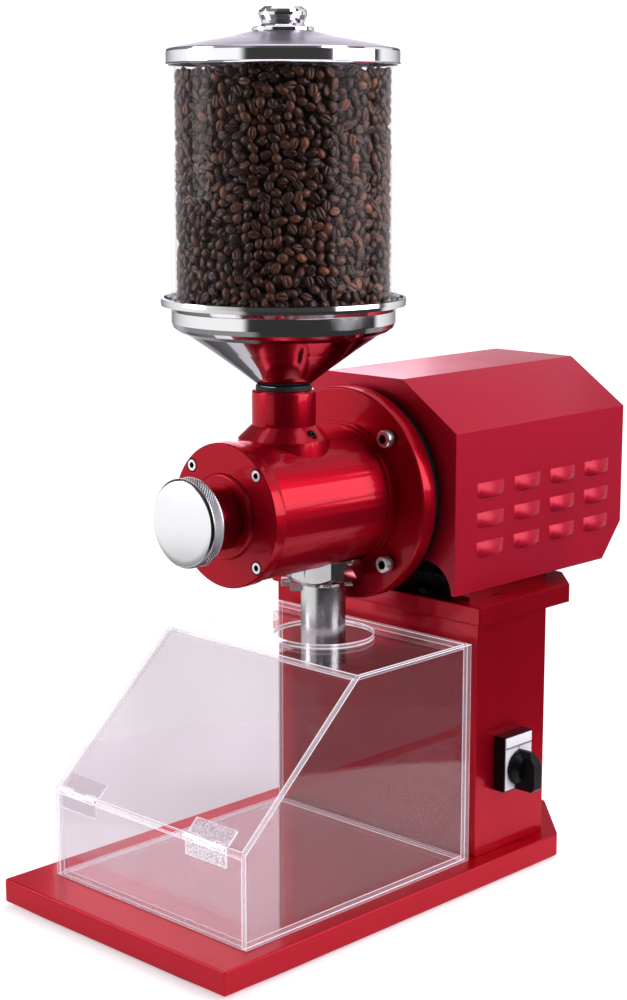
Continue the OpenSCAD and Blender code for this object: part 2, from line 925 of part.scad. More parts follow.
// a flat burr whose toothed face looks along +Y when up is 1, else along -Y
module burr(y, up, tilt) {
    face = up > 0 ? y + burr_t : y;
    difference() {
        y_rod(burr_r, y, y + burr_t);
        y_rod(burr_eye_r, y - cut, y + burr_t + cut);
        translate([0, up > 0 ? face - 3.5 : face + 3.5, axis_z])
            rotate([up > 0 ? -90 : 90, 0, 0])
                cylinder(r1 = burr_eye_r, r2 = burr_eye_r + 10, h = 3.6);
        for (i = [0:15])
            translate([0, 0, axis_z])
                rotate([0, i * 22.5 + tilt, 0])
                    translate([-7, face - 1.6, burr_eye_r + 4])
                        rotate([0, 20, 0])
                            cube([3, 3.2, burr_r]);
        for (a = [30:120:270])
            translate([burr_screw_pcr * cos(a), 0, burr_screw_pcr * sin(a)]) {
                y_rod(m5_hole_r, y - cut, y + burr_t + cut);
                y_rod(5, up > 0 ? face - 5 : face - cut, up > 0 ? face + cut : face + 5);
            }
    }
}

module fixed_burr() {
    color(steel)
    burr(fixed_burr_y, 1, 0);
}

module fixed_burr_screws() {
    top = fixed_burr_y + burr_t - 2;
    color(steel)
    for (a = [30:120:270])
        translate([burr_screw_pcr * cos(a), 0, burr_screw_pcr * sin(a)]) {
            y_rod(4.6, top - 3, top);
            y_rod(m5_r, carrier_y[1] - 11, top - 3);
        }
}

module rotating_burr() {
    color(steel)
    burr(turning_burr_y, -1, 11);
}

module rotating_burr_screws() {
    top = turning_burr_y + 2;
    color(steel)
    for (a = [30:120:270])
        translate([burr_screw_pcr * cos(a), 0, burr_screw_pcr * sin(a)]) {
            y_rod(4.6, top, top + 3);
            y_rod(m5_r, top + 3, hub_y + hub_t - 1);
        }
}

module burr_hub() {
    color(iron)
    difference() {
        union() {
            y_rod(50, hub_y, hub_y + hub_t);
            y_rod(22, hub_y, hub_y + hub_t + 4);
            for (i = [0:2])
                translate([0, 0, axis_z])
                    rotate([0, i * 120, 0])
                        block([-3, hub_y, 44], [3, hub_y + hub_t + 4, 52.5]);
        }
        y_rod(12, hub_y - cut, hub_y + hub_t + 5);
        for (a = [30:120:270])
            y_rod(m5_r, hub_y - cut, hub_y + hub_t + cut,
                  burr_screw_pcr * cos(a), axis_z + burr_screw_pcr * sin(a));
    }
}

module feed_auger() {
    color(steel)
    difference() {
        union() {
            y_rod(11.5, -22, 46);
            for (i = [0:10])
                translate([0, -17 + i * 5, axis_z])
                    rotate([0, i * 50, 0])
                        translate([-5, -2, 10])
                            rotate([0, 0, 25])
                                cube([10, 2.6, 8.6]);
            y_rod(19.7, hub_y - 1.5 - cut, 46);
        }
        y_rod(8, -22 - cut, 46 + cut);
    }
}

// ---- feed and hopper ----

module feed_tube() {
    color(paint)
    translate([0, feed_y, 0])
        rotate_extrude()
            polygon([
                [feed_bore_r, feed_tube_z[0]], [feed_tube_r, feed_tube_z[0]],
                [feed_tube_r, feed_tube_z[1] - 2], [feed_tube_r - 2, feed_tube_z[1]],
                [socket_r, feed_tube_z[1]], [socket_r, neck_z[0] - clear_gap],
                [feed_bore_r, neck_z[0] - clear_gap]
            ]);
}

module lock_screw() {
    color(steel)
    difference() {
        x_rod(2.9, feed_tube_r, feed_tube_r + 7, feed_y, 432.5);
        translate([feed_tube_r + 4, feed_y, 432.5])
            rotate([0, 90, 0])
                cylinder(d = 3 / cos(30), h = 4, $fn = 6);
    }
}

module funnel() {
    t = 1.6;
    color(steel)
    translate([0, feed_y, 0])
        rotate_extrude()
            polygon([
                [neck_r - t, neck_z[0]], [neck_r, neck_z[0]], [neck_r, neck_z[1]],
                [42, 488.5], [66, 506], [86, 519.6], [94.5, 523.4], [98.6, 526.6], [100.1, 531],
                [100.1, 541.5], [104, 545.5], [rim_r, 546], [rim_r + 0.4, 549], [rim_r, 552.5],
                [106.6, 553], [105.8, 550], [103.6, 547.4], [101.2, 546.6], [101.2, ledge_z],
                [96, ledge_z], [96, 541], [98.4, 539], [98.4, 531.2], [97.2, 528],
                [93.6, 525.1], [85.2, 521.1], [65, 507.3], [41, 489.8], [neck_r - t, neck_z[1] + 0.5]
            ]);
}

module neck_seal() {
    color(dark)
    translate([0, feed_y, feed_tube_z[1] + clear_gap])
        difference() {
            cylinder(r = 25.4, h = 3);
            translate([0, 0, -cut])
                cylinder(r = neck_r, h = 5);
        }
}

module hopper_tube() {
    color(clear)
    translate([0, feed_y, tube_z[0]])
        difference() {
            cylinder(r = tube_r, h = tube_z[1] - tube_z[0], $fn = 180);
            translate([0, 0, -cut])
                cylinder(r = tube_r - tube_wall, h = tube_z[1] - tube_z[0] + 2 * cut, $fn = 180);
        }
}

module lid() {
    edge_z = lid_low + skirt_h;
    color(steel)
    translate([0, feed_y, 0])
        rotate_extrude()
            polygon([
                [lid_r - lid_t, lid_low], [lid_r, lid_low], [lid_r + 0.9, lid_low + 0.8],
                [lid_r, lid_low + 1.8], [lid_r, edge_z - 1.6], [lid_r - 0.6, edge_z],
                [lid_r - 2.2, edge_z + 1], [86, edge_z + 4.2], [66, edge_z + 8], [46, edge_z + 11.4],
                [30, dome_top_z - 0.6], [20, dome_top_z], [3, dome_top_z], [3, dome_top_z - lid_t],
                [20, dome_top_z - lid_t], [30, dome_top_z - lid_t - 0.6], [46, edge_z + 10],
                [66, edge_z + 6.6], [86, edge_z + 2.8], [lid_r - lid_t, edge_z - 0.6]
            ]);
}

module lid_knob() {
    color(steel)
    translate([0, feed_y, 0])
        rotate_extrude()
            polygon([
                [0, dome_top_z], [ring_r, dome_top_z], [ring_r, dome_top_z + 2.6],
                [ring_r - 1, dome_top_z + 3.4], [20, dome_top_z + 4.2], [18.6, dome_top_z + 6],
                [19.2, dome_top_z + 9], [21.2, dome_top_z + 13], [21.4, dome_top_z + 15.5],
                [20.4, dome_top_z + 18], [17, knob_top_z - 1.4], [9, knob_top_z - 0.2],
                [0, knob_top_z]
            ]);
}

// ---- spout ----

// hexagonal collar under the chamber, cut flat at the back against the flange
module spout_collar() {
    z0 = spout_collar_z[0];
    h = spout_collar_z[1] - z0;
    bevel_r = spout_collar_flats / 2 - 1;
    color(steel)
    difference() {
        translate([0, spout_y, 0])
            union() {
                intersection() {
                    translate([0, 0, z0])
                        rotate([0, 0, spout_collar_turn])
                            cylinder(d = spout_collar_flats / cos(30), h = h, $fn = 6);
                    translate([0, 0, z0])
                        cylinder(r1 = bevel_r, r2 = bevel_r + h, h = h);
                }
                translate([0, 0, z0 - 5])
                    cylinder(r = spout_r + 1.7, h = 6);
            }
        translate([0, spout_y, z0 - 10])
            cylinder(r = spout_r, h = 40);
        y_rod(chamber_r, chamber_front, chamber_rear + cut);
        y_rod(shoulder_r[0], chamber_rear - 7, chamber_rear + cut);
        y_rod(shoulder_r[1], chamber_rear - 3, chamber_rear + cut);
        block([-50, chamber_rear - clear_gap, z0 - cut], [50, chamber_rear + 20, z0 + h + cut]);
    }
}

module spout_tube() {
    color(steel)
    translate([0, spout_y, spout_z[0]])
        difference() {
            cylinder(r = spout_r, h = spout_z[1] - spout_z[0]);
            translate([0, 0, -cut])
                cylinder(r = spout_r - 1.5, h = spout_z[1] - spout_z[0] + 2 * cut);
            translate([0, 0, -0.01])
                cylinder(r1 = spout_r - 0.6, r2 = spout_r - 1.5, h = 1);
        }
}

// stepped and slotted bracket on the tube's left, and a short lug on its right
module spout_bracket() {
    color(steel)
    translate([0, spout_y, 0])
        rotate([0, 0, spout_bracket_turn])
            difference() {
                union() {
                    block([19, -3, 275], [30.8, 3, 281]);
                    block([29.2, -4, 280], [39.3, 4, 287]);
                }
                translate([0, 0, 270])
                    cylinder(r = spout_r, h = 20);
                block([31, -5, 283.4], [37.6, 5, 284.8]);
            }
    color(steel)
    translate([0, spout_y, 0])
        rotate([0, 0, spout_bracket_turn + 180])
            difference() {
                block([19, -2, 279.5], [27.5, 2, 282]);
                translate([0, 0, 270])
                    cylinder(r = spout_r, h = 20);
            }
}

// ---- receiving bin ----

module bin_outline() {
    polygon([
        [bin_y0, bin_z0], [bin_y1, bin_z0], [bin_y1, bin_z1], [slope_y, bin_z1], [bin_y0, slope_z]
    ]);
}

module bin_sides() {
    color(clear) {
        along_x(bin_x0, bin_x0 + bin_t) bin_outline();
        along_x(bin_x1 - bin_t, bin_x1) bin_outline();
    }
}

module bin_floor() {
    color(clear)
    block([bin_x0 + bin_t, bin_y0 + bin_t, bin_z0], [bin_x1 - bin_t, bin_y1 - bin_t, bin_z0 + bin_t]);
}

module bin_front() {
    color(clear)
    block([bin_x0 + bin_t, bin_y0, bin_z0], [bin_x1 - bin_t, bin_y0 + bin_t, slope_z - 5]);
}

module bin_rear() {
    color(clear)
    block([bin_x0 + bin_t, bin_y1 - bin_t, bin_z0], [bin_x1 - bin_t, bin_y1, bin_z1]);
}

module bin_top() {
    color(clear)
    difference() {
        block([bin_x0 + bin_t, slope_y + 2.5, bin_z1 - bin_t], [bin_x1 - bin_t, bin_y1 - bin_t, bin_z1]);
        translate([0, bin_hole_y, bin_z1 - bin_t - cut])
            cylinder(r = bin_hole_r, h = bin_t + 2 * cut);
    }
}

// a slab lying on the slope: s along the slope, t outwards from it
module on_slope(s0, s1, t0, t1, x0, x1) {
    translate([0, bin_y0, slope_z])
        rotate([slope_angle, 0, 0])
            block([x0, s0, t0], [x1, s1, t1]);
}

module bin_flap() {
    color(clear)
    on_slope(2, slope_len - 2.2, -bin_t, 0, bin_x0 + bin_t + 0.8, bin_x1 - bin_t - 0.8);
}

module hinge_lower_leaves() {
    y = hinge_axis[0];
    z = hinge_axis[1];
    color(clear)
    for (x = hinge_x)
        difference() {
            union() {
                block([x, bin_y0 - leaf_t, z - 16.5], [x + hinge_w, bin_y0, z - 3.6]);
                for (x0 = [x, x + hinge_w - knuckle]) {
                    block([x0, bin_y0 - leaf_t, z - 4], [x0 + knuckle, bin_y0, z - 1]);
                    x_rod(hinge_r, x0, x0 + knuckle, y, z);
                }
            }
            x_rod(pin_r, x - cut, x + hinge_w + cut, y, z);
        }
}

module hinge_upper_leaves() {
    y = hinge_axis[0];
    z = hinge_axis[1];
    color(clear)
    for (x = hinge_x) {
        x0 = x + knuckle + 0.5;
        x1 = x + hinge_w - knuckle - 0.5;
        difference() {
            union() {
                on_slope(3.4, 18, 0, leaf_t, x, x + hinge_w);
                on_slope(-0.6, 5, 0.1, leaf_t - 0.1, x0 + 0.5, x1 - 0.5);
                x_rod(hinge_r, x0, x1, y, z);
            }
            x_rod(pin_r + clear_gap, x0 - cut, x1 + cut, y, z);
        }
    }
}

module hinge_pins() {
    color(steel)
    for (x = hinge_x)
        x_rod(pin_r, x, x + hinge_w, hinge_axis[0], hinge_axis[1]);
}

// ---- switch ----

module switch_housing() {
    half = column_w / 2;
    color(dark)
    difference() {
        union() {
            block([half, switch_y[0], switch_z[0]], [half + switch_t, switch_y[1], switch_z[1]]);
            x_rod(12.5, half - sheet, half, dial_y, dial_z);
            block([half - 42, dial_y - 16, dial_z - 16], [half - sheet, dial_y + 16, dial_z + 16]);
        }
        x_rod(4.3, half - 20, half + switch_t + cut, dial_y, dial_z);
    }
}

module switch_faceplate() {
    x = column_w / 2 + switch_t;
    color(steel)
    difference() {
        block([x, switch_y[0] + 1.2, switch_z[0] + 1.2], [x + 1, switch_y[1] - 1.2, switch_z[1] - 1.2]);
        x_rod(4.3, x - cut, x + 2, dial_y, dial_z);
    }
}

module switch_knob() {
    x = column_w / 2 + switch_t + 1.4;
    color(dark)
    union() {
        x_rod(4, x - 12, x, dial_y, dial_z);
        x_rod(dial_r, x, x + 4, dial_y, dial_z);
        translate([x + 4, dial_y, dial_z])
            rotate([0, 90, 0])
                cylinder(r1 = dial_r - 1, r2 = dial_r - 5, h = 5);
        intersection() {
            along_x(x, grip_out)
                polygon([
                    [dial_y - 5.5, dial_z - 20], [dial_y + 5.5, dial_z - 20],
                    [dial_y + 5.5, dial_z + 12], [dial_y + 2, dial_z + 17.5],
                    [dial_y - 2, dial_z + 17.5], [dial_y - 5.5, dial_z + 12]
                ]);
            along_y(dial_y - 10, dial_y + 10)
                polygon([
                    [x, dial_z - 20], [grip_out - 3, dial_z - 20], [grip_out, dial_z - 17],
                    [grip_out, dial_z + 6], [grip_out - 8, dial_z + 17.5], [x, dial_z + 17.5]
                ]);
        }
    }
}

// ---- assembly ----

translate([-mid_x, -mid_y, 0]) {
    base_tray();
    base_feet();
    m5_screws();
    m8_bolts();
    column();
    service_panel();
    cable_gland();
    run_capacitor();
    motor_plate();
    cover_rails();
    motor_cover();
    motor_frame();
    stator_core();
    stator_windings();
    front_shield();
    rear_shield();
    fan_cowl();
    motor_foot_pads();
    motor_bearings();
    motor_shaft();
    rotor_core();
    cooling_fan();
    mounting_flange();
    flange_bolts();
    grinding_chamber();
    end_plate();
    end_plate_screws();
    adjuster_collar();
    adjuster_knob();
    adjuster_stem();
    burr_carrier();
    fixed_burr();
    fixed_burr_screws();
    rotating_burr();
    rotating_burr_screws();
    burr_hub();
    feed_auger();
    feed_tube();
    lock_screw();
    funnel();
    neck_seal();
    hopper_tube();
    lid();
    lid_knob();
    spout_collar();
    spout_tube();
    spout_bracket();
    bin_floor();
    bin_sides();
    bin_front();
    bin_rear();
    bin_top();
    bin_flap();
    hinge_lower_leaves();
    hinge_upper_leaves();
    hinge_pins();
    switch_housing();
    switch_faceplate();
    switch_knob();
}
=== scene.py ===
import json
import math

import bpy
import numpy as np
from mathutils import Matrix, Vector


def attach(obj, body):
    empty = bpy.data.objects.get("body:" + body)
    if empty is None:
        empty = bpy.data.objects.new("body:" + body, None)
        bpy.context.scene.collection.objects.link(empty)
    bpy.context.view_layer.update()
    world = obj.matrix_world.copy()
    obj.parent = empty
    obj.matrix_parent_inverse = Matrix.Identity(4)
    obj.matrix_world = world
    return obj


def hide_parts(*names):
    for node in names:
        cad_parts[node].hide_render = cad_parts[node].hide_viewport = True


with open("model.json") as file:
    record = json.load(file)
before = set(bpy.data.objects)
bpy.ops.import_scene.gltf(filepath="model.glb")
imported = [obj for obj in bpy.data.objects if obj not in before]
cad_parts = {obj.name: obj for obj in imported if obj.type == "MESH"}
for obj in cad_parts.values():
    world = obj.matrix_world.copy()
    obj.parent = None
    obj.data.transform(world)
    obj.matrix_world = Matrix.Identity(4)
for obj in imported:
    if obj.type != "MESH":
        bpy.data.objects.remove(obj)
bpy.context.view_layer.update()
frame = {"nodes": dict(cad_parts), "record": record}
nodes = frame["nodes"]

# where the CAD source's axes lie in the row frame, in metres
MID_X, MID_Y = 0.010, 0.067
AXIS_Z = 0.364
HOPPER = (-MID_X, -0.0064 - MID_Y)
FLAP_NORMAL = (0, -0.671, 0.741)


# ---------------------------------------------------------------- node helpers

class Nodes:
    """Short helpers for building a shader tree. Textures are in object space."""

    def __init__(self, tree, output):
        self.tree = tree
        self.tree.nodes.clear()
        self.out = self.add(output)
        self.coord = self.add("ShaderNodeTexCoord")

    def add(self, kind, **values):
        n = self.tree.nodes.new(kind)
        for k, v in values.items():
            setattr(n, k, v)
        return n

    def link(self, a, b):
        self.tree.links.new(a, b)

    def noise(self, scale, detail=2.0, rough=0.5, stretch=None):
        n = self.add("ShaderNodeTexNoise")
        n.inputs["Scale"].default_value = scale
        n.inputs["Detail"].default_value = detail
        n.inputs["Roughness"].default_value = rough
        source = self.coord.outputs["Object"]
        if stretch:
            m = self.add("ShaderNodeMapping")
            m.inputs["Scale"].default_value = stretch
            self.link(source, m.inputs["Vector"])
            source = m.outputs["Vector"]
        self.link(source, n.inputs["Vector"])
        return n.outputs["Fac"]

    def ramp(self, fac, stops):
        """A colour ramp through (position, colour) stops."""
        r = self.add("ShaderNodeValToRGB")
        e = r.color_ramp.elements
        e[0].position, e[0].color = stops[0][0], (*stops[0][1], 1)
        e[1].position, e[1].color = stops[-1][0], (*stops[-1][1], 1)
        for position, colour in stops[1:-1]:
            e.new(position).color = (*colour, 1)
        self.link(fac, r.inputs["Fac"])
        return r.outputs["Color"]

    def span(self, fac, lo, hi, a=0.0, b=1.0, shape="LINEAR"):
        """lo to hi as fac goes from a to b, and constant beyond."""
        m = self.add("ShaderNodeMapRange", interpolation_type=shape)
        m.inputs["From Min"].default_value = a
        m.inputs["From Max"].default_value = b
        m.inputs["To Min"].default_value = lo
        m.inputs["To Max"].default_value = hi
        self.link(fac, m.inputs["Value"])
        return m.outputs["Result"]

    def math(self, op, a, b=None):
        m = self.add("ShaderNodeMath", operation=op)
        for i, v in enumerate((a, b)):
            if isinstance(v, (int, float)):
                m.inputs[i].default_value = v
            elif v is not None:
                self.link(v, m.inputs[i])
        return m.outputs[0]

    def dot(self, vector, axis):
        n = self.add("ShaderNodeVectorMath", operation="DOT_PRODUCT")
        self.link(vector, n.inputs[0])
        n.inputs[1].default_value = axis
        return n.outputs["Value"]

    def split(self, output):
        """The X, Y and Z of one of the texture coordinates."""
        n = self.add("ShaderNodeSeparateXYZ")
        self.link(self.coord.outputs[output], n.inputs[0])
        return n.outputs

    def bump(self, height, strength, distance):
        b = self.add("ShaderNodeBump")
        b.inputs["Strength"].default_value = strength
        b.inputs["Distance"].default_value = distance
        self.link(height, b.inputs["Height"])
        return b.outputs["Normal"]

    def blend(self, fac, a, b):
        n = self.add("ShaderNodeMixShader")
        self.link(fac, n.inputs[0])
        self.link(a, n.inputs[1])
        self.link(b, n.inputs[2])
        return n.outputs[0]

    def sum_of(self, a, b):
        n = self.add("ShaderNodeAddShader")
        self.link(a, n.inputs[0])
        self.link(b, n.inputs[1])
        return n.outputs[0]


class Mat(Nodes):
    """A material built from nodes."""

    def __init__(self, name):
        self.mat = bpy.data.materials.new(name)
        self.mat.use_nodes = True
        super().__init__(self.mat.node_tree, "ShaderNodeOutputMaterial")

    def principled(self, **values):
        """Underscores stand for the spaces in the shader's socket names."""
        p = self.add("ShaderNodeBsdfPrincipled")
        for name, value in values.items():
            p.inputs[name.replace("_", " ")].default_value = value
        self.link(p.outputs["BSDF"], self.out.inputs["Surface"])
        return p


# ---------------------------------------------------------------- metals, paints and plastics

def paint(name, low, high, rough=0.36, metallic=0.72, coat=0.26, coat_rough=0.07, edge=(1.0, 0.35, 0.48)):
    """Metallic paint with fine flakes under a clear coat. edge tints it towards the silhouette."""
    m = Mat(name)
    p = m.principled(Metallic=metallic, Specular_IOR_Level=0.15, Specular_Tint=(*edge, 1),
                     Coat_Weight=coat, Coat_Roughness=coat_rough, Coat_IOR=1.5)
    flake = m.noise(2600.0, 1.0)
    m.link(m.ramp(flake, [(0.36, low), (0.66, high)]), p.inputs["Base Color"])
    m.link(m.span(m.noise(9.0, 3.0), rough - 0.05, rough + 0.06, 0.3, 0.7), p.inputs["Roughness"])
    m.link(m.bump(flake, 0.10, 0.0004), p.inputs["Normal"])
    m.link(m.bump(m.noise(190.0, 1.0), 0.03, 0.0006), p.inputs["Coat Normal"])
    return m.mat


def metal(name, low, high, rough=0.12, spread=0.05, stretch=(1, 1, 1), scale=400.0, aniso=0.0,
          bump=0.01, rim=0.8):
    """Bare metal with a grain. rim is the reflectance towards the silhouette."""
    m = Mat(name)
    p = m.principled(Metallic=1.0, Specular_Tint=(rim, rim * 0.98, rim, 1), Anisotropic=aniso)
    grain = m.noise(scale, 3.0, 0.6, stretch)
    m.link(m.ramp(grain, [(0.3, low), (0.7, high)]), p.inputs["Base Color"])
    m.link(m.span(grain, rough - spread, rough + spread, 0.3, 0.7), p.inputs["Roughness"])
    m.link(m.bump(grain, bump, 0.0005), p.inputs["Normal"])
    return m.mat


def plain(name, low, high, rough=0.5, scale=700.0, bump=0.05, spec=0.5):
    """Plastic, rubber, enamel or print with a fine grain."""
    m = Mat(name)
    p = m.principled(Specular_IOR_Level=spec)
    grain = m.noise(scale, 3.0)
    m.link(m.ramp(grain, [(0.3, low), (0.7, high)]), p.inputs["Base Color"])
    m.link(m.span(grain, rough - 0.06, rough + 0.06, 0.3, 0.7), p.inputs["Roughness"])
    m.link(m.bump(grain, bump, 0.0004), p.inputs["Normal"])
    return m.mat


SOFT_RIM = (0.30, 0.29, 0.31, 1)   # polished sheet reflects this much at its silhouette


def socket_steel():
    """Screw steel with painted shade: ambient occlusion darkens the base colour in the hexagon sockets and
    under the heads.
    """
    m = Mat("socket_steel")
    p = m.principled(Metallic=1.0)
    grain = m.noise(500.0, 3.0)
    # painted shade: the occlusion turns the base colour near black in the sockets and where the heads meet
    # the flange
    painted_recess_shade = m.add("ShaderNodeAmbientOcclusion", samples=6)
    painted_recess_shade.inputs["Distance"].default_value = 0.007
    open_part = m.span(painted_recess_shade.outputs["AO"], 0.0, 1.0, 0.45, 0.92)
    tone = m.math("MULTIPLY", open_part, m.span(grain, 0.85, 1.0, 0.3, 0.7))
    m.link(m.ramp(tone, [(0.0, (0.015, 0.012, 0.013)), (1.0, (0.90, 0.89, 0.90))]), p.inputs["Base Color"])
    m.link(m.span(grain, 0.28, 0.38, 0.3, 0.7), p.inputs["Roughness"])
    m.link(m.bump(grain, 0.02, 0.0004), p.inputs["Normal"])
    return m.mat


def lid_steel():
    """Polished skirt and softer spun dome, told apart by how far the surface faces up."""
    m = Mat("lid_steel")
    p = m.principled(Metallic=1.0, Specular_Tint=SOFT_RIM)
    on_dome = m.span(m.split("Normal")["Z"], 0.0, 1.0, 0.55, 0.75)
    m.link(m.ramp(on_dome, [(0.0, (0.93, 0.92, 0.95)), (1.0, (0.68, 0.65, 0.71))]), p.inputs["Base Color"])
    smear = m.span(m.noise(60.0, 2.0), 0.0, 0.03)
    m.link(m.math("ADD", m.span(on_dome, 0.07, 0.28), smear), p.inputs["Roughness"])
    return m.mat


def funnel_steel():
    """Duller cone below the polished band, told apart by height."""
    m = Mat("funnel_steel")
    p = m.principled(Metallic=1.0, Specular_Tint=SOFT_RIM)
    on_band = m.span(m.split("Object")["Z"], 0.0, 1.0, 0.520, 0.527)
    m.link(m.ramp(on_band, [(0.0, (0.60, 0.58, 0.61)), (1.0, (0.84, 0.84, 0.86))]), p.inputs["Base Color"])
    m.link(m.span(m.noise(60.0, 3.0), 0.06, 0.12, 0.3, 0.7), p.inputs["Roughness"])
    return m.mat


RED = paint("candy_red", (0.33, 0.0012, 0.008), (0.50, 0.0034, 0.021))
SATIN_RED = paint("satin_red", (0.37, 0.0022, 0.014), (0.56, 0.0070, 0.036), rough=0.44, metallic=0.5,
                  coat=0.30, coat_rough=0.24, edge=(1.0, 0.52, 0.78))
DARK_RED = paint("dark_red", (0.13, 0.001, 0.004), (0.20, 0.002, 0.008), rough=0.22)
POLISHED = metal("polished_steel", (0.76, 0.75, 0.78), (0.86, 0.85, 0.88), 0.08, 0.02, scale=60.0,
                 bump=0.004, rim=0.30)
BRUSHED = metal("brushed_tube", (0.58, 0.57, 0.58), (0.76, 0.75, 0.76), 0.24, 0.05, (1, 1, 0.35), 120.0,
                aniso=0.3, rim=0.4)
ZINC = metal("screw_steel", (0.60, 0.60, 0.61), (0.78, 0.78, 0.79), 0.22, 0.05)
TURNED = metal("turned_aluminium", (0.80, 0.81, 0.83), (0.90, 0.90, 0.92), 0.20, 0.05, (1, 0.02, 1), 700.0,
               aniso=0.2)
IRON = metal("cast_iron", (0.16, 0.16, 0.17), (0.26, 0.26, 0.28), 0.5, 0.08, scale=500.0, bump=0.1)
DARK_STEEL = metal("mill_steel", (0.20, 0.20, 0.21), (0.33, 0.33, 0.35), 0.42, 0.07)
BURR_STEEL = metal("burr_steel", (0.40, 0.40, 0.42), (0.56, 0.56, 0.58), 0.3, 0.05)
COPPER = metal("windings", (0.30, 0.10, 0.03), (0.55, 0.22, 0.08), 0.4, 0.08, (1, 0.1, 1), 900.0)
PLATED = metal("bright_plate", (0.86, 0.84, 0.87), (0.94, 0.92, 0.95), 0.42, 0.05, bump=0.02)
SOCKET = socket_steel()
ENAMEL = plain("black_enamel", (0.004, 0.004, 0.004), (0.010, 0.009, 0.010), 0.55, 500.0, 0.08, 0.25)
RUBBER = plain("rubber", (0.012, 0.012, 0.012), (0.03, 0.03, 0.03), 0.75)
BLACK = plain("black_plastic", (0.0015, 0.0015, 0.002), (0.004, 0.004, 0.005), 0.36, bump=0.06, spec=0.14)
FACEPLATE = plain("faceplate", (0.74, 0.74, 0.79), (0.84, 0.84, 0.88), 0.38, 900.0, 0.02)


# ---------------------------------------------------------------- clear acrylic

def clear_sheet(m, tint, ior):
    """Clear plastic whose faces mirror more at a slant, seen from either side."""
    clear = m.add("ShaderNodeBsdfTransparent")
    paler = tuple(min(1, c + 0.02) for c in tint)
    m.link(m.ramp(m.noise(9.0, 1.0), [(0.3, tint), (0.7, paler)]), clear.inputs["Color"])
    gloss = m.add("ShaderNodeBsdfGlossy")
    gloss.inputs["Roughness"].default_value = 0.02
    fresnel = m.add("ShaderNodeFresnel")
    side = m.add("ShaderNodeNewGeometry")
    m.link(m.span(side.outputs["Backfacing"], ior, 1 / ior), fresnel.inputs["IOR"])
    return m.blend(fresnel.outputs[0], clear.outputs[0], gloss.outputs[0])


def lit_edge(m, soft):
    """Painted light on the sheet's edges: a faint emission glow over their own soft white."""
    glow = m.add("ShaderNodeEmission")
    glow.inputs["Strength"].default_value = 0.42
    tones = [(0.3, (0.92, 0.84, 0.88)), (0.7, (1.0, 0.95, 0.98))]
    m.link(m.ramp(m.noise(300.0, 2.0), tones), glow.inputs["Color"])
    return m.sum_of(glow.outputs[0], soft)


def glue_specks(m, amount):
    """How much of the surface the bubbly glue covers. The right-hand hinge has most of it."""
    right = m.span(m.split("Object")["X"], 0.10, amount, -0.02, 0.02)
    return m.math("MULTIPLY", right, m.span(m.noise(620.0, 2.0), 0.15, 1.0, 0.42, 0.56))


def acrylic(name, axis=None, tint=(0.905, 0.885, 0.900), haze=0.004, ior=1.40, specks=0.0, cut=0.22):
    """Clear sheet with bright lines along its rounded edges, which carry a painted glow.

    axis is the sheet's thin direction, specks how much glue shows, cut how much of the painted glow the sawn
    faces take.
    """
    m = Mat(name)
    soft = m.add("ShaderNodeBsdfDiffuse")
    soft.inputs["Color"].default_value = (0.9, 0.88, 0.93, 1)
    if specks:
        cover = glue_specks(m, specks)
    else:
        cover = m.span(m.noise(6.0, 1.0), haze * 0.8, haze * 1.2, 0.3, 0.7)
    result = m.blend(cover, clear_sheet(m, tint, ior), soft.outputs[0])
    if axis is not None:
        # painted light: the rounded edges, the sawn faces and the glue specks are blended towards the glowing
        # white of lit_edge
        lit = lit_edge(m, soft.outputs[0])
        flat = m.math("ABSOLUTE", m.dot(m.coord.outputs["Normal"], axis))
        sawn = m.math("LESS_THAN", flat, 0.08)
        rounded = m.math("MULTIPLY", m.math("LESS_THAN", flat, 0.97), m.math("GREATER_THAN", flat, 0.08))
        result = m.blend(m.math("MULTIPLY", sawn, cut), result, lit)
        if specks:
            result = m.blend(m.math("MULTIPLY", cover, 0.5), result, lit)
        result = m.blend(m.math("MULTIPLY", rounded, 0.92), result, lit)
    m.link(result, m.out.inputs["Surface"])
    return m.mat


# ---------------------------------------------------------------- materials on the CAD nodes

BY_SLOT = {
    "red_paint": RED, "dark_red_paint": DARK_RED, "steel": ZINC, "polished_steel": POLISHED,
    "aluminium": TURNED, "grey_iron": IRON, "dark_steel": DARK_STEEL, "burr_steel": BURR_STEEL,
    "copper": COPPER, "rubber": RUBBER, "black_plastic": BLACK,
}
BY_NODE = {
    "bin_sides": acrylic("acrylic_x", (1, 0, 0)),
    "bin_floor": acrylic("acrylic_z", (0, 0, 1)),
    "bin_top": acrylic("acrylic_z_top", (0, 0, 1)),
    "bin_front": acrylic("acrylic_y", (0, 1, 0)),
    "bin_rear": acrylic("acrylic_y_rear", (0, 1, 0)),
    "bin_flap": acrylic("acrylic_flap", FLAP_NORMAL),
    "hopper_tube": acrylic("acrylic_tube", tint=(0.95, 0.93, 0.94), haze=0.0015, ior=1.13),
    "hinge_lower_leaves": acrylic("acrylic_leaf", (0, 1, 0), specks=0.85, cut=0.75),
    "hinge_upper_leaves": acrylic("acrylic_leaf_up", FLAP_NORMAL, specks=0.45, cut=0.75),
    "spout_tube": BRUSHED, "spout_bracket": PLATED, "switch_faceplate": FACEPLATE,
    "funnel": funnel_steel(), "lid": lid_steel(),
    # the cover rails take the dark red paint as painted shade: they fill the gap under the cover's hem, where
    # the plate lies in shadow
    "motor_cover": SATIN_RED, "cover_rails": DARK_RED,
    "flange_bolts": SOCKET, "end_plate_screws": SOCKET,
    # the motor frame and shields are black enamel, kept near black so that they also serve as painted shade
    # in the gap behind the flange
    "motor_frame": ENAMEL, "front_shield": ENAMEL, "rear_shield": ENAMEL,
    "fan_cowl": ENAMEL, "lock_screw": ENAMEL, "m8_bolts": ENAMEL,
}
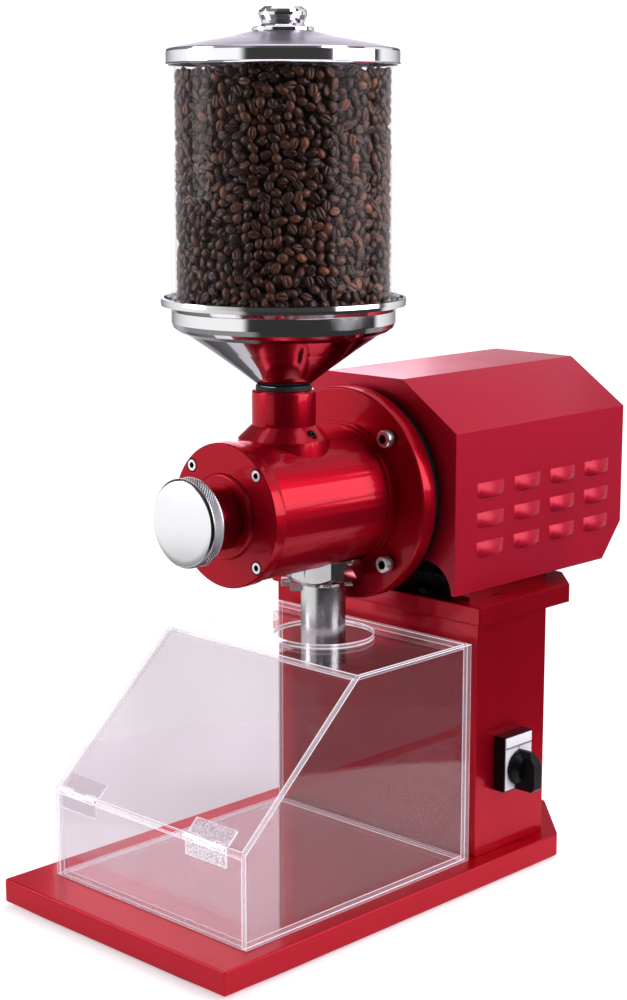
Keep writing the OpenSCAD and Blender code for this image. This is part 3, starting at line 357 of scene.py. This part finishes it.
SLOT_OF = {s["node"]: s["material_slot"] for s in frame["record"]["subparts"]}

for name, ob in nodes.items():
    ob.data.materials.clear()
    ob.data.materials.append(BY_NODE.get(name) or BY_SLOT[SLOT_OF[name]])


# ---------------------------------------------------------------- rounded edges on the CAD nodes

BEVEL_MM = {
    "base_tray": 1.6, "column": 1.4, "motor_plate": 1.4, "service_panel": 0.5, "motor_cover": 1.0,
    "mounting_flange": 0.5, "grinding_chamber": 0.5, "end_plate": 0.4, "feed_tube": 0.4,
    "flange_bolts": 0.3, "end_plate_screws": 0.2, "spout_collar": 0.6, "spout_bracket": 0.3,
    "switch_housing": 1.0, "switch_knob": 0.8, "m8_bolts": 0.3, "switch_faceplate": 0.2,
    "adjuster_collar": 0.3, "hinge_lower_leaves": 0.8, "hinge_upper_leaves": 0.8,
    "bin_floor": 0.7, "bin_sides": 0.7, "bin_front": 0.7, "bin_rear": 0.7, "bin_top": 0.7, "bin_flap": 0.7,
}
SHARP = 38                    # folds sharper than this many degrees are rounded
COVER_SHARP = 42              # keeps the cover's louvres out
for name, width in BEVEL_MM.items():
    ob = nodes[name]
    weld = ob.modifiers.new("weld", "WELD")
    weld.merge_threshold = 1e-5
    bevel = ob.modifiers.new("bevel", "BEVEL")
    bevel.width = width / 1000
    bevel.segments = 3
    bevel.limit_method = "ANGLE"
    bevel.angle_limit = math.radians(COVER_SHARP if name == "motor_cover" else SHARP)
    bevel.harden_normals = True
    bevel.miter_outer = "MITER_ARC"


# ---------------------------------------------------------------- mesh building

def mesh_object(name, verts, faces, mat, smooth=True):
    me = bpy.data.meshes.new(name)
    me.from_pydata([tuple(v) for v in verts], [], [tuple(f) for f in faces])
    me.update()
    if smooth:
        me.polygons.foreach_set("use_smooth", [True] * len(me.polygons))
    me.materials.append(mat)
    ob = bpy.data.objects.new(name, me)
    bpy.context.scene.collection.objects.link(ob)
    return ob


def angles(steps):
    return np.arange(steps) * 2 * math.pi / steps


def level_ring(r, z, th):
    """A ring about the Z axis. r is one radius or a radius for each angle."""
    return np.stack([r * np.cos(th), r * np.sin(th), np.full(len(th), z)], 1)


def upright_ring(r, y, th):
    """The same about the Y axis."""
    return np.stack([r * np.sin(th), np.full(len(th), y), r * np.cos(th)], 1)


def ring_surface(rings, close_start=False, close_end=False):
    """Vertices and faces of a surface through rings of equally many points."""
    n = len(rings[0])
    verts = [p for ring in rings for p in ring]
    faces = []
    for i in range(len(rings) - 1):
        for j in range(n):
            k = (j + 1) % n
            faces.append((i * n + j, i * n + k, (i + 1) * n + k, (i + 1) * n + j))
    if close_start:
        verts.append(np.mean(rings[0], axis=0))
        c = len(verts) - 1
        faces += [(c, (j + 1) % n, j) for j in range(n)]
    if close_end:
        base = (len(rings) - 1) * n
        verts.append(np.mean(rings[-1], axis=0))
        c = len(verts) - 1
        faces += [(c, base + j, base + (j + 1) % n) for j in range(n)]
    return verts, faces


# ---------------------------------------------------------------- the adjusting knob

KNOB_R, KNOB_FRONT, KNOB_BACK = 0.0396, -0.132, -0.117
KNURLS = 84
KNURL_PITCH = 0.0027          # along the axis, for one knurl round it
KNURL_DEPTH = 0.00080


def turned_face():
    """Bright turned face, and a knurled rim in painted shade: greyer than the face, and darkest down in the
    knurl grooves.
    """
    m = Mat("turned_knob")
    p = m.principled(Metallic=1.0)
    place = m.split("Object")
    dx = m.math("ADD", place["X"], MID_X)
    dz = m.math("SUBTRACT", place["Z"], AXIS_Z)
    radius = m.math("SQRT", m.math("ADD", m.math("MULTIPLY", dx, dx), m.math("MULTIPLY", dz, dz)))
    lines = m.add("ShaderNodeTexNoise", noise_dimensions="1D")
    lines.inputs["Scale"].default_value = 2600.0
    lines.inputs["Detail"].default_value = 3.0
    m.link(radius, lines.inputs["W"])
    turning = lines.outputs["Fac"]
    on_face = m.span(m.math("ABSOLUTE", m.split("Normal")["Y"]), 0.0, 1.0, 0.80, 0.92)
    face_tone = m.math("MULTIPLY", on_face, m.span(turning, 0.9, 1.0, 0.3, 0.7))
    # painted shade: the rim's base colour darkens with the depth of each knurl groove, and stays greyer than
    # the face
    knurl_groove_shade = m.span(radius, 0.0, 0.6, KNOB_R - 0.00070, KNOB_R - 0.00015)
    tones = [(0.0, (0.16, 0.16, 0.17)), (0.6, (0.66, 0.66, 0.69)), (1.0, (0.93, 0.93, 0.96))]
    m.link(m.ramp(m.math("MAXIMUM", face_tone, knurl_groove_shade), tones), p.inputs["Base Color"])
    m.link(m.span(turning, 0.16, 0.26, 0.3, 0.7), p.inputs["Roughness"])
    m.link(m.bump(turning, 0.05, 0.0004), p.inputs["Normal"])
    return m.mat


def knurled_knob():
    """The knob with a slightly domed face and a diamond knurl cut round its rim."""
    th = angles(8 * KNURLS)
    lead = 2 * math.pi / KNURLS
    face = [(0.004, -0.00218), (0.012, -0.0020), (0.024, -0.0013), (0.032, -0.0006),
            (KNOB_R - 0.0028, -0.0001), (KNOB_R - 0.0022, 0.0001), (KNOB_R - 0.0004, 0.0019)]
    rings = [upright_ring(r, KNOB_FRONT + y, th) for r, y in face]
    rows = 30
    y0, y1 = KNOB_FRONT + 0.0022, KNOB_BACK - 0.0016
    for i in range(rows + 1):
        y = y0 + (y1 - y0) * i / rows
        turn = (y - y0) / KNURL_PITCH * lead
        right = np.abs(((th + turn) / lead) % 1.0 - 0.5) * 2
        left = np.abs(((th - turn) / lead) % 1.0 - 0.5) * 2
        groove = np.maximum(1 - 1.6 * right, np.maximum(1 - 1.6 * left, 0))
        fade = min(1.0, 4 * min(i, rows - i) / rows + 0.15)
        rings.append(upright_ring(KNOB_R - 0.0001 - KNURL_DEPTH * fade * groove, y, th))
    back = [(KNOB_R - 0.0004, -0.0013), (KNOB_R - 0.0015, 0.0), (0.010, 0.0)]
    rings += [upright_ring(r, KNOB_BACK + y, th) for r, y in back]
    verts, faces = ring_surface(rings, True, True)
    verts = np.array(verts) + np.array([-MID_X, -MID_Y, AXIS_Z])
    return mesh_object("knurled_knob", verts, faces, turned_face())


knurled = knurled_knob()
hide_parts("adjuster_knob")
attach(knurled, "adjuster")


# ---------------------------------------------------------------- coffee beans

TUBE_INSIDE = 0.0955          # radius
HEAP_LOW, HEAP_HIGH = 0.5495, 0.748
BEAN_HALF = np.array([5.5, 4.15, 3.6]) * 0.001
BEAN_GAP = 0.0077             # between the centres of neighbours
MIDDLE_R = 0.092              # where the gaps are measured
SECOND_LAYER = 0.0042         # how far the beans behind sit from the wall


def bean_material():
    """Roasted brown, each bean with its own tone."""
    m = Mat("roasted_bean")
    p = m.principled(Specular_IOR_Level=0.45, Coat_Weight=0.16, Coat_Roughness=0.28)
    tone = m.add("ShaderNodeAttribute", attribute_name="tone")
    blotch = m.noise(260.0, 3.0)
    mixed = m.math("ADD", m.math("MULTIPLY", tone.outputs["Fac"], 0.75), m.math("MULTIPLY", blotch, 0.25))
    browns = [(0.0, (0.014, 0.005, 0.0026)), (0.40, (0.056, 0.020, 0.0095)),
              (0.70, (0.150, 0.056, 0.025)), (1.0, (0.42, 0.17, 0.075))]
    m.link(m.ramp(mixed, browns), p.inputs["Base Color"])
    m.link(m.span(m.noise(500.0, 2.0), 0.34, 0.50, 0.3, 0.7), p.inputs["Roughness"])
    m.link(m.bump(m.noise(900.0, 3.0), 0.18, 0.0005), p.inputs["Normal"])
    return m.mat


def bean_shape(outline, lats=6):
    """A bean from its cross-section, drawn in to a point at each end. Half-lengths are about 1."""
    longs = len(outline)
    verts = [(-1.0, 0.0, 0.0)]
    for i in range(1, lats):
        x = -math.cos(math.pi * i / lats)
        r = math.sin(math.pi * i / lats)
        verts += [(x, r * y, r * z) for y, z in outline]
    verts.append((1.0, 0.0, 0.0))
    faces = []
    last = 1 + (lats - 2) * longs
    for j in range(longs):
        k = (j + 1) % longs
        faces.append((0, 1 + k, 1 + j))
        faces.append((len(verts) - 1, last + j, last + k))
        for i in range(lats - 2):
            row = 1 + i * longs
            faces.append((row + j, row + k, row + longs + k, row + longs + j))
    return np.array(verts), faces


ROUND_BACK = [(1.0, 0.0), (0.81, 0.59), (0.31, 0.95), (-0.31, 0.95), (-0.81, 0.59), (-1.0, 0.0)]
PLAIN_BEAN = bean_shape(ROUND_BACK + [(-0.62, -0.42), (0.62, -0.42)])
CREASED_BEAN = bean_shape(ROUND_BACK + [(-0.78, -0.36), (-0.36, -0.50), (-0.13, -0.42), (0.0, -0.02),
                                        (0.13, -0.42), (0.36, -0.50), (0.78, -0.36)], 7)


def lean(a, b, angle):
    """Two of the axes, turned about the third."""
    c, s = np.cos(angle)[:, None], np.sin(angle)[:, None]
    return a * c + b * s, -a * s + b * c


def bean_turns(rng, normal, spin, tilt, flip):
    """Rotations whose Z axes lean about the given outward normals. flip is -1 for a crease that faces out."""
    n = len(normal)
    across = np.cross(normal, np.array([0.0, 0.0, 1.0]))
    across /= np.linalg.norm(across, axis=1)[:, None] + 1e-9
    x, y = lean(across, np.cross(normal, across), spin)
    y, z = lean(y, normal, tilt)
    x, z = lean(x, z, rng.normal(0, 0.28, n))
    return np.stack([x, y * flip[:, None], z * flip[:, None]], axis=2)


def spread(rng, w, h, gap, tries):
    """Points in a w by h strip that wraps in w, at least gap apart."""
    cells = {}
    points = []
    columns = max(1, int(w / gap))
    cell_w = w / columns

    def crowded(x, y, cx, cy):
        for i in (-1, 0, 1):
            for j in (-1, 0, 1):
                for other in cells.get(((cx + i) % columns, cy + j), ()):
                    dx = abs(x - other[0])
                    dx = min(dx, w - dx)
                    if dx * dx + (y - other[1]) ** 2 < gap * gap:
                        return True
        return False

    for _ in range(tries):
        x, y = rng.uniform(0, w), rng.uniform(0, h)
        cx, cy = int(x / cell_w), int(y / gap)
        if not crowded(x, y, cx, cy):
            cells.setdefault((cx % columns, cy), []).append((x, y))
            points.append((x, y))
    return np.array(points)


def bean_heap(name, rng, shape, mat, centres, turns):
    """One mesh of many beans, which rides the clear tube."""
    bean_verts, bean_faces = shape
    count, size = len(centres), len(bean_verts)
    sizes = BEAN_HALF * rng.normal(1, 0.06, (count, 3))
    verts = np.einsum("nij,nvj->nvi", turns, bean_verts[None] * sizes[:, None, :]) + centres[:, None, :]
    faces = []
    for corners in (3, 4):
        some = np.array([f for f in bean_faces if len(f) == corners])
        moved = some[None] + np.arange(count)[:, None, None] * size
        faces += [tuple(f) for f in moved.reshape(-1, corners)]
    ob = mesh_object(name, verts.reshape(-1, 3) + np.array([*HOPPER, 0]), faces, mat)
    tones = np.clip(rng.normal(0.40, 0.23, count) + 0.35 * (rng.random(count) < 0.05), 0, 1)
    tone = ob.data.attributes.new("tone", "FLOAT", "POINT")
    tone.data.foreach_set("value", np.repeat(tones, size).astype(np.float32))
    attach(ob, "clear_tube")


def against_wall(rng, depth, tries):
    """Centres and turns of beans that lie against the tube, depth in from it, and which show a crease."""
    p = spread(rng, 2 * math.pi * MIDDLE_R, HEAP_HIGH - HEAP_LOW, BEAN_GAP, tries)
    th = p[:, 0] / MIDDLE_R
    n = len(th)
    normal = np.stack([np.cos(th), np.sin(th), np.zeros(n)], 1)
    creased = rng.random(n) < 0.45
    flip = np.where(creased, -1.0, 1.0)
    turns = bean_turns(rng, normal, rng.uniform(0, 2 * math.pi, n), rng.normal(0, 0.34, n), flip)
    facing = np.abs(np.einsum("ni,nij->nj", normal, turns))
    reach = np.where(creased, 2.4, 3.9) * facing[:, 2] + 4.4 * facing[:, 1] ** 2 + 5.8 * facing[:, 0] ** 2
    r = TUBE_INSIDE - depth - np.maximum(reach, 2.6) * 0.001
    centres = np.stack([r * np.cos(th), r * np.sin(th), HEAP_LOW + p[:, 1]], 1)
    return centres, turns, creased


def on_top(rng):
    """Centres and turns of the beans on the heap's low mound."""
    width, reach = 0.19, 0.085
    p = spread(rng, width, width, 0.0084, 9000) - width / 2
    p = p[np.hypot(p[:, 0], p[:, 1]) < reach]
    n = len(p)
    normal = np.tile(np.array([0.02, 0.0, 1.0]), (n, 1))
    normal /= np.linalg.norm(normal, axis=1)[:, None]
    z = 0.744 + 0.006 * np.cos(np.hypot(p[:, 0], p[:, 1]) / 0.09 * 1.5) + rng.normal(0, 0.0012, n)
    flip = np.where(rng.random(n) < 0.4, -1.0, 1.0)
    turns = bean_turns(rng, normal, rng.uniform(0, 6.28, n), rng.normal(0, 0.4, n), flip)
    return np.stack([p[:, 0], p[:, 1], z], 1), turns


def build_beans():
    rng = np.random.default_rng(11)
    mat = bean_material()
    centres, turns, creased = against_wall(rng, 0.0, 60000)
    bean_heap("beans_creased", rng, CREASED_BEAN, mat, centres[creased], turns[creased])
    bean_heap("beans_round", rng, PLAIN_BEAN, mat, centres[~creased], turns[~creased])
    centres, turns, creased = against_wall(rng, SECOND_LAYER, 30000)
    bean_heap("beans_behind", rng, PLAIN_BEAN, mat, centres, turns)
    centres, turns = on_top(rng)
    bean_heap("beans_top", rng, CREASED_BEAN, mat, centres, turns)


def bean_core():
    """The dark mass of beans behind the visible ones."""
    rng = np.random.default_rng(5)
    th = angles(96)
    profile = [(0.020, 0.5460), (0.084, 0.5475), (0.0845, 0.56), (0.0845, 0.64), (0.0845, 0.72),
               (0.083, 0.741), (0.04, 0.7435)]
    rings = [level_ring(r + rng.normal(0, 0.0004, len(th)), z, th) for r, z in profile]
    verts, faces = ring_surface(rings, True, True)
    verts = np.array(verts) + np.array([*HOPPER, 0])
    shadow = plain("bean_shadow", (0.006, 0.003, 0.002), (0.02, 0.009, 0.005), 0.8, 160.0, 0.3)
    return mesh_object("bean_core", verts, faces, shadow)


build_beans()
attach(bean_core(), "clear_tube")


# ---------------------------------------------------------------- marks on the switch plate

PLATE_X = 0.143 - MID_X
PLATE_Y = (0.142 - MID_Y + 0.0016, 0.183 - MID_Y - 0.0016)
STRIP = plain("switch_strip", (0.82, 0.82, 0.84), (0.92, 0.92, 0.94), 0.45)
GREY = plain("switch_line", (0.16, 0.16, 0.17), (0.24, 0.24, 0.25), 0.5)


def raised_box(name, across, up, height, mat):
    """A thin box on the switch plate, given its Y span, Z span and height."""
    corners = [(y, z) for z in up for y in across]
    verts = [(PLATE_X + x, y, z) for x in (0, height) for y, z in corners]
    faces = [(0, 2, 3, 1), (4, 5, 7, 6), (0, 1, 5, 4), (1, 3, 7, 5), (3, 2, 6, 7), (2, 0, 4, 6)]
    return mesh_object(name, verts, faces, mat, smooth=False)


def raised_zero(name, y, z, half_w, half_h, stroke, mat):
    """An oval outline of square section on the switch plate."""
    a = angles(28)
    height = 0.00015
    rings = []
    for x, inset in ((0, 0), (height, 0), (height, stroke), (0, stroke), (0, 0)):
        ring_y = y + (half_w - inset) * np.cos(a)
        ring_z = z + (half_h - inset) * np.sin(a)
        rings.append(np.stack([np.full(len(a), PLATE_X + x), ring_y, ring_z], 1))
    verts, faces = ring_surface(rings)
    return mesh_object(name, verts, faces, mat, smooth=False)


marks = [
    raised_box("switch_strip", PLATE_Y, (0.1298, 0.1384), 0.0003, STRIP),
    raised_box("switch_line", PLATE_Y, (0.1278, 0.1294), 0.00025, GREY),
    raised_zero("switch_zero", 0.1625 - MID_Y, 0.1262, 0.0010, 0.0013, 0.0004, GREY),
    raised_box("switch_one", (0.1758 - MID_Y, 0.1763 - MID_Y), (0.1150, 0.1176), 0.00015, GREY),
]
for ob in marks:
    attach(ob, "stand")


# ---------------------------------------------------------------- floor and light

def stage_material():
    """White paper that glows a little, as lit from below."""
    m = Mat("studio_white")
    paper = m.add("ShaderNodeBsdfDiffuse")
    m.link(m.ramp(m.noise(0.7, 2.0), [(0.3, (0.86, 0.86, 0.87)), (0.7, (0.88, 0.88, 0.88))]),
           paper.inputs["Color"])
    glow = m.add("ShaderNodeEmission")
    glow.inputs["Color"].default_value = (1, 1, 1, 1)
    glow.inputs["Strength"].default_value = 0.45
    m.link(m.sum_of(paper.outputs[0], glow.outputs[0]), m.out.inputs["Surface"])
    return m.mat


def floor_disc():
    rings = [level_ring(r, 0.0, angles(96)) for r in (0.02, 0.2, 0.34, 0.48)]
    verts, faces = ring_surface(rings, True)
    return mesh_object("studio_floor", verts, faces, stage_material())


floor_disc()

LIGHT_COLOUR = (0.97, 0.93, 1.0)
SOFT_BOXES = {   # place, target, size in metres, watts
    "key_left": ((-1.5, -1.6, 1.25), (0, 0, 0.4), (1.0, 1.5), 26),
    "box_right": ((1.75, 0.86, 0.92), (0, 0, 0.42), (1.8, 1.1), 28),
    "fill_right": ((1.7, 0.3, 1.9), (0, 0.1, 0.45), (0.8, 1.0), 16),
    "top_back": ((0.1, 1.6, 1.9), (0, 0.1, 0.4), (2.6, 1.5), 9.5),
    "top": ((-0.1, 0.1, 2.3), (0, 0, 0.3), (1.4, 1.4), 10),
    "back_left": ((-1.6, 1.4, 1.2), (0, 0, 0.4), (0.8, 1.2), 9),
}
for name, (place, target, size, power) in SOFT_BOXES.items():
    data = bpy.data.lights.new(name, "AREA")
    data.shape = "RECTANGLE"
    data.size, data.size_y = size
    data.energy = power
    data.color = LIGHT_COLOUR
    ob = bpy.data.objects.new(name, data)
    bpy.context.scene.collection.objects.link(ob)
    ob.location = place
    ob.rotation_euler = (Vector(target) - Vector(place)).to_track_quat("-Z", "Y").to_euler()


def studio_world():
    """Bright paper behind and beside the grinder that fades upwards, and a dim room elsewhere."""
    world = bpy.data.worlds.new("studio")
    bpy.context.scene.world = world
    world.use_nodes = True
    w = Nodes(world.node_tree, "ShaderNodeOutputWorld")
    direction = w.coord.outputs["Generated"]
    up = w.split("Generated")["Z"]
    behind = w.span(w.dot(direction, (-0.683, 0.706, -0.188)), 0.0, 1.22, 0.90, 0.955, "SMOOTHSTEP")
    left = w.span(w.dot(direction, (-0.982, 0.188, 0.0)), 0.0, 1.0, -0.36, -0.20, "SMOOTHSTEP")
    above = w.span(up, 1.0, 0.17, 0.06, 0.15, "SMOOTHSTEP")
    below = w.span(up, 0.25, 1.0, -0.42, -0.24, "SMOOTHSTEP")
    beside = w.math("MULTIPLY", w.math("MULTIPLY", left, above), below)
    paper = w.math("MAXIMUM", behind, beside)
    room = w.span(up, 0.035, 0.09, -0.1, 0.5, "SMOOTHSTEP")
    sky = w.add("ShaderNodeBackground")
    sky.inputs["Color"].default_value = (1.0, 1.0, 1.0, 1)
    w.link(w.math("ADD", paper, room), sky.inputs["Strength"])
    w.link(sky.outputs[0], w.out.inputs["Surface"])


studio_world()


# ---------------------------------------------------------------- camera

YAW, PITCH = math.radians(44.062), math.radians(10.843)
cam_data = bpy.data.cameras.new("camera")
cam = bpy.data.objects.new("camera", cam_data)
bpy.context.scene.collection.objects.link(cam)
cam.location = (1.24299 - MID_X, -1.25245 - MID_Y, 0.70514)
look = Vector((-math.sin(YAW) * math.cos(PITCH), math.cos(YAW) * math.cos(PITCH), -math.sin(PITCH)))
cam.rotation_euler = look.to_track_quat("-Z", "Y").to_euler()
cam_data.sensor_fit = "VERTICAL"
cam_data.sensor_height = 24.0
cam_data.lens = 47.336
cam_data.clip_end = 60
bpy.context.scene.camera = cam

bpy.context.scene.view_settings.view_transform = "Standard"
bpy.context.scene.view_settings.look = "None"
bpy.context.scene.cycles.transparent_max_bounces = 32
